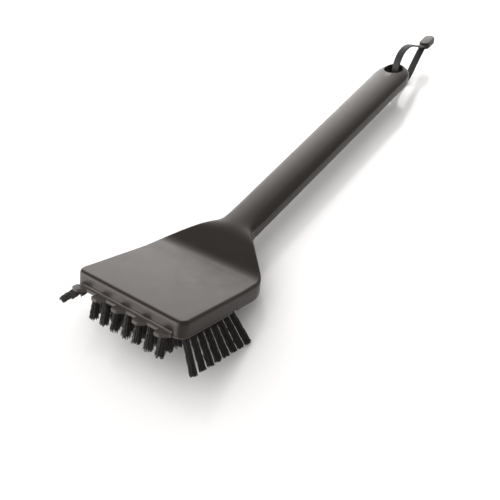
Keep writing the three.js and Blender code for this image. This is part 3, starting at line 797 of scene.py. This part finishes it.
# ---------- screws ----------
for i, (x, y) in enumerate(screw_places):
    low = PLATE_BOTTOM + GAP
    profile = [
        (0, low), (SCREW_HEAD_R - 0.25, low), (SCREW_HEAD_R, low + 0.25),
        (SCREW_HEAD_R, low + SCREW_HEAD * 0.5), (SCREW_R, low + SCREW_HEAD),
    ]
    thread = low + SCREW_HEAD + 0.4
    while thread < SCREW_TOP - 1.3:
        profile += [(SCREW_R - THREAD_DEPTH, thread), (SCREW_R, thread + THREAD_PITCH / 2)]
        thread += THREAD_PITCH
    profile += [(SCREW_R - THREAD_DEPTH, SCREW_TOP - 1), (0, SCREW_TOP)]
    screw = spun(profile, lambda a, b, c: in_head(x + a, y + b, c), 32)
    cross_top = low + CROSS_DEPTH
    for long_x, long_y in ((CROSS_HALF, CROSS_REACH), (CROSS_REACH, CROSS_HALF)):
        slot = block(x - long_x, x + long_x, y - long_y, y + long_y, low - 1, cross_top, in_head)
        combine(screw, slot, "DIFFERENCE")
    finish_surface(screw, 30)
    show(screw, f"cross_screw_{i + 1}", "brush", "steel", steel, f"plate_screw_{i + 1}")

# ---------- strap ----------
STRAP_BOTTOM = -TABLE_GAP + STRAP_T / 2
STACK = (STRAP_T + GAP) / 2
UPPER, LOWER = TAG_Z + STACK, TAG_Z - STACK
strap_points = [
    (TAG_Y + STRAP_PAST_PIN, UPPER), (TAG_Y - 9.5, UPPER), (TAG_Y - 11, UPPER),
    (47.8, 8.4), (41.5, 11.2), (31.5, 16.3), (21.2, 20.6), (12.2, 22.3), (4.8, 21.6),
    (-1.3, 18.9), (-5.6, 14.4), (-8.7, 7.6), (-8.4, 1.2), (-6.4, -5), (-1.9, -10.6),
    (4.6, -14), (12, STRAP_BOTTOM), (19.5, -13.6), (27, -10.6), (36, -5.2), (46, 0.6),
    (TAG_Y - 11, LOWER), (TAG_Y - 9.5, LOWER), (TAG_Y + STRAP_PAST_PIN, LOWER),
]


def catmull(points, steps=14):
    """Centripetal Catmull-Rom line through the points."""
    points = [Vector(p) for p in points]
    padded = [2 * points[0] - points[1], *points, 2 * points[-1] - points[-2]]
    line = []
    for i in range(1, len(padded) - 2):
        p0, p1, p2, p3 = padded[i - 1:i + 3]
        t1 = (p1 - p0).length ** 0.5
        t2 = t1 + (p2 - p1).length ** 0.5
        t3 = t2 + (p3 - p2).length ** 0.5
        for k in range(steps):
            t = t1 + (t2 - t1) * k / steps
            a1 = p0 * ((t1 - t) / t1) + p1 * (t / t1)
            a2 = p1 * ((t2 - t) / (t2 - t1)) + p2 * ((t - t1) / (t2 - t1))
            a3 = p2 * ((t3 - t) / (t3 - t2)) + p3 * ((t - t2) / (t3 - t2))
            b1 = a1 * ((t2 - t) / t2) + a2 * (t / t2)
            b2 = a2 * ((t3 - t) / (t3 - t1)) + a3 * ((t - t1) / (t3 - t1))
            line.append(b1 * ((t2 - t) / (t2 - t1)) + b2 * ((t - t1) / (t2 - t1)))
    return [*line, points[-1]]


strap_line = catmull(strap_points)
strap_section = rounded_rect(STRAP_W / 2, -STRAP_T / 2, STRAP_T / 2, 0.4, 4)
strap_rings = []
for i, point in enumerate(strap_line):
    ahead = strap_line[min(i + 1, len(strap_line) - 1)]
    behind = strap_line[max(i - 1, 0)]
    along = (ahead - behind).normalized()
    out = Vector((-along.y, along.x))
    ring = [at_end(x, point.x + out.x * h, point.y + out.y * h) for x, h in strap_section]
    strap_rings.append(ring)
strap = facing_out(loft("strap", strap_rings))
pin_hole = drum(0, TAG_Y, TAG_Z - 8, TAG_Z + 8, RIVET_R + GAP, at_end)
combine(strap, pin_hole, "DIFFERENCE")
finish_surface(strap, 50)
show(strap, "strap", "hanger", "strap", strap_rubber, "hanging_strap")

# ---------- tag ----------
TAG_INNER = STACK + STRAP_T / 2 + GAP


def in_tag(x, y, z):
    return at_end(
        x * math.cos(TAG_YAW) - y * math.sin(TAG_YAW),
        TAG_Y + x * math.sin(TAG_YAW) + y * math.cos(TAG_YAW),
        TAG_Z + z,
    )


def pill(shrink, steps=20):
    radius = TAG_WIDE / 2 - shrink
    half = TAG_LONG / 2 - TAG_WIDE / 2
    points = []
    for centre, start in ((half, 0), (-half, 180)):
        for k in range(steps + 1):
            a = math.radians(start + 180 * k / steps)
            points.append((radius * math.cos(a), centre + radius * math.sin(a)))
    return points


for side, word in ((1, "upper"), (-1, "lower")):
    height = TAG_INNER + TAG_SHELL
    levels = [(0.15, GAP / 2), (0, GAP / 2 + 0.15)]
    for k in range(8):
        a = math.pi / 2 * k / 7
        levels.append((TAG_EDGE * (1 - math.cos(a)), height - TAG_EDGE + TAG_EDGE * math.sin(a)))
    rings = [[in_tag(x, y, side * z) for x, y in pill(shrink)] for shrink, z in levels]
    tag = facing_out(loft("tag", rings))
    half = STRAP_W / 2 + GAP
    pocket_end = TAG_Y + STRAP_PAST_PIN + GAP
    low, high = sorted((TAG_Z - side, TAG_Z + side * TAG_INNER))
    combine(tag, block(-half, half, TAG_Y - TAG_LONG, pocket_end, low, high, at_end), "DIFFERENCE")
    deep = height - TAG_ROOF if side > 0 else height + 1
    combine(tag, drum(0, 0, -side, side * deep, RIVET_R + GAP, in_tag), "DIFFERENCE")
    if side < 0:
        seat_top = RIVET_HEAD + GAP - height
        combine(tag, drum(0, 0, -height - 1, seat_top, RIVET_HEAD_R + GAP, in_tag), "DIFFERENCE")
    finish_surface(tag, 34)
    show(tag, f"tag_{word}", "hanger", "body", body_plastic, f"tag_{word}_shell")

rivet_low = TAG_Z - TAG_INNER - TAG_SHELL
rivet_high = TAG_Z + TAG_INNER + TAG_SHELL - TAG_ROOF - GAP
rivet_profile = [
    (0, rivet_low), (RIVET_HEAD_R - 0.5, rivet_low), (RIVET_HEAD_R - 0.15, rivet_low + 0.15),
    (RIVET_HEAD_R, rivet_low + 0.45), (RIVET_HEAD_R, rivet_low + RIVET_HEAD),
    (RIVET_R, rivet_low + RIVET_HEAD), (RIVET_R, rivet_high), (0, rivet_high),
]
rivet = spun(rivet_profile, lambda x, y, z: at_end(x, y + TAG_Y, z), 32)
finish_surface(rivet, 30)
show(rivet, "tag_rivet_turned", "hanger", "steel", steel, "tag_rivet")

# ---------- camera ----------
CAMERA_AT = in_head(213.33, -218.23, 167.82)
CAMERA_LOOK = Vector((-0.48445, 0.55086, -0.67960))
CAMERA_UP = Vector((-0.33570, 0.60032, 0.72590))
LENS = 41.74
camera_data = bpy.data.cameras.new("camera")
camera_data.lens = LENS
camera_data.sensor_width = 36
camera_data.clip_start = 0.01
camera_data.clip_end = 50
camera = bpy.data.objects.new("camera", camera_data)
bpy.context.scene.collection.objects.link(camera)
backward = -CAMERA_LOOK.normalized()
sideways = CAMERA_UP.cross(backward).normalized()
upward = backward.cross(sideways)
camera_turn = Matrix((sideways, upward, backward)).transposed().to_4x4()
camera.matrix_world = Matrix.Translation(CAMERA_AT) @ camera_turn
bpy.context.scene.camera = camera

# ---------- floor and light ----------
FLOOR_HALF = 12
FLOOR_DROP = 0.0002
corner_signs = ((-1, -1), (1, -1), (1, 1), (-1, 1))
floor_corners = [(x * FLOOR_HALF, y * FLOOR_HALF, 0) for x, y in corner_signs]
floor = new_object("floor", floor_corners, [(0, 1, 2, 3)])
floor.location.z = -FLOOR_DROP
floor_paint, floor_nodes, _ = new_material("floor_paint")
paint = floor_nodes["Principled BSDF"]
paint.inputs["Base Color"].default_value = (0.93, 0.93, 0.93, 1)
paint.inputs["Roughness"].default_value = 0.16
paint.inputs["Specular IOR Level"].default_value = 0.8
floor.data.materials.append(floor_paint)

world = bpy.data.worlds.new("studio")
bpy.context.scene.world = world
world.use_nodes = True
sky_nodes, sky_links = world.node_tree.nodes, world.node_tree.links
sky_direction = sky_nodes.new("ShaderNodeTexCoord").outputs["Generated"]


def sky_math(first, second, operation="ADD"):
    """The sum, or another operation, of two numbers or sockets."""
    node = sky_nodes.new("ShaderNodeMath")
    node.operation = operation
    for socket, value in zip(node.inputs, (first, second)):
        if isinstance(value, (int, float)):
            socket.default_value = value
        else:
            sky_links.new(value, socket)
    return node.outputs["Value"]


def soft_light(azimuth, elevation, inner, outer, strength):
    """A round soft light in the sky, in degrees, azimuth counted from +Y towards -X."""
    azimuth, elevation = math.radians(azimuth), math.radians(elevation)
    nearness = sky_nodes.new("ShaderNodeVectorMath")
    nearness.operation = "DOT_PRODUCT"
    nearness.inputs[1].default_value = (
        -math.sin(azimuth) * math.cos(elevation),
        math.cos(azimuth) * math.cos(elevation),
        math.sin(elevation),
    )
    sky_links.new(sky_direction, nearness.inputs[0])
    fade = sky_nodes.new("ShaderNodeMapRange")
    fade.interpolation_type = "SMOOTHSTEP"
    fade.inputs["From Min"].default_value = math.cos(math.radians(outer))
    fade.inputs["From Max"].default_value = math.cos(math.radians(inner))
    fade.inputs["To Max"].default_value = strength
    sky_links.new(nearness.outputs["Value"], fade.inputs["Value"])
    return fade.outputs["Result"]


# A plain white backdrop. The diffuse light is an even sky with one broad light at the left.
# The gloss has its own soft lights, two behind the brush and one in front of it.
BACKDROP = 1.1
EVEN_SKY = 0.54
GLOSS_SKY = 0.55
BROAD_LIGHT = (105, 40, 8, 78, 1.7)
GLOSS_LIGHTS = ((34, 12, 12, 54, 1.6), (31, 18, 5, 24, 1.3), (150, 8, 16, 46, 5.0))
plain = sky_math(soft_light(*BROAD_LIGHT), EVEN_SKY)
gloss = GLOSS_SKY
for light in GLOSS_LIGHTS:
    gloss = sky_math(gloss, soft_light(*light))
rays = sky_nodes.new("ShaderNodeLightPath").outputs
diffuse_part = sky_math(sky_math(plain, BACKDROP, "SUBTRACT"), rays["Is Diffuse Ray"], "MULTIPLY")
gloss_part = sky_math(sky_math(gloss, BACKDROP, "SUBTRACT"), rays["Is Glossy Ray"], "MULTIPLY")
sky = sky_nodes["Background"]
sky.inputs["Color"].default_value = (1, 0.982, 0.972, 1)
sky_links.new(sky_math(sky_math(diffuse_part, gloss_part), BACKDROP), sky.inputs["Strength"])

bpy.context.scene.view_settings.view_transform = "Standard"
bpy.context.scene.view_settings.exposure = 0.0
